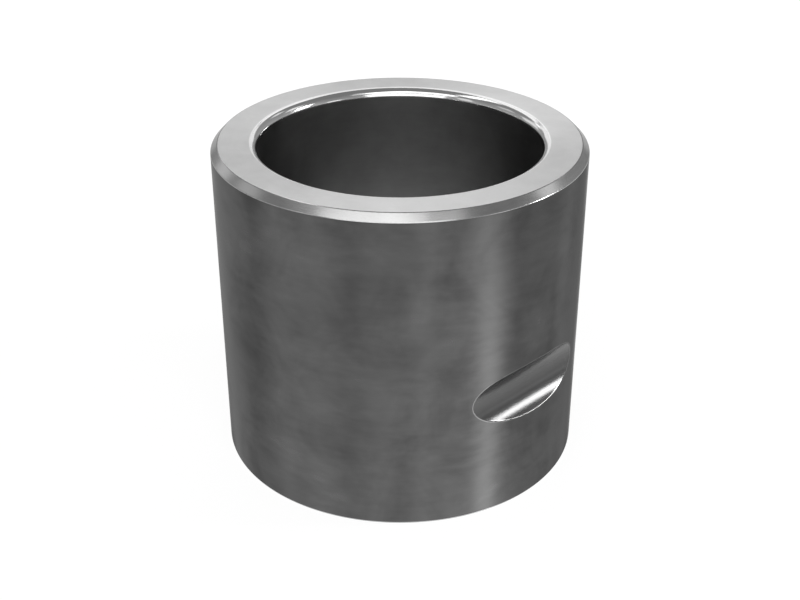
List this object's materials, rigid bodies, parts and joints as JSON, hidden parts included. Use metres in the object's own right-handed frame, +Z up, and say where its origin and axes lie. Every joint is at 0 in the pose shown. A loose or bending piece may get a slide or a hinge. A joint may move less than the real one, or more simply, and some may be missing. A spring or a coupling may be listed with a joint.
{
  "type": "tool bushing",
  "caption": "Thick-walled turned steel wear bushing with a plain through bore, a rounded mouth, a chamfered rim and a lock-pin groove across one side.",
  "frame": {"origin": "centre of the foot, on the bore axis, in the plane that the bushing stands on", "axes": "+Z up along the bore towards the rounded mouth; +X from the bore axis towards the middle of the lock-pin groove; the lock pin lies along Y"},
  "size_m": [0.16, 0.16, 0.143],
  "materials": {
    "steel": "turned steel: dark and smudged on the outer wall and in the bore, bright on the faced top, the chamfer and the mouth"
  },
  "bodies": {
    "root": {"tool_bushing": "steel"}
  },
  "joints": []
}
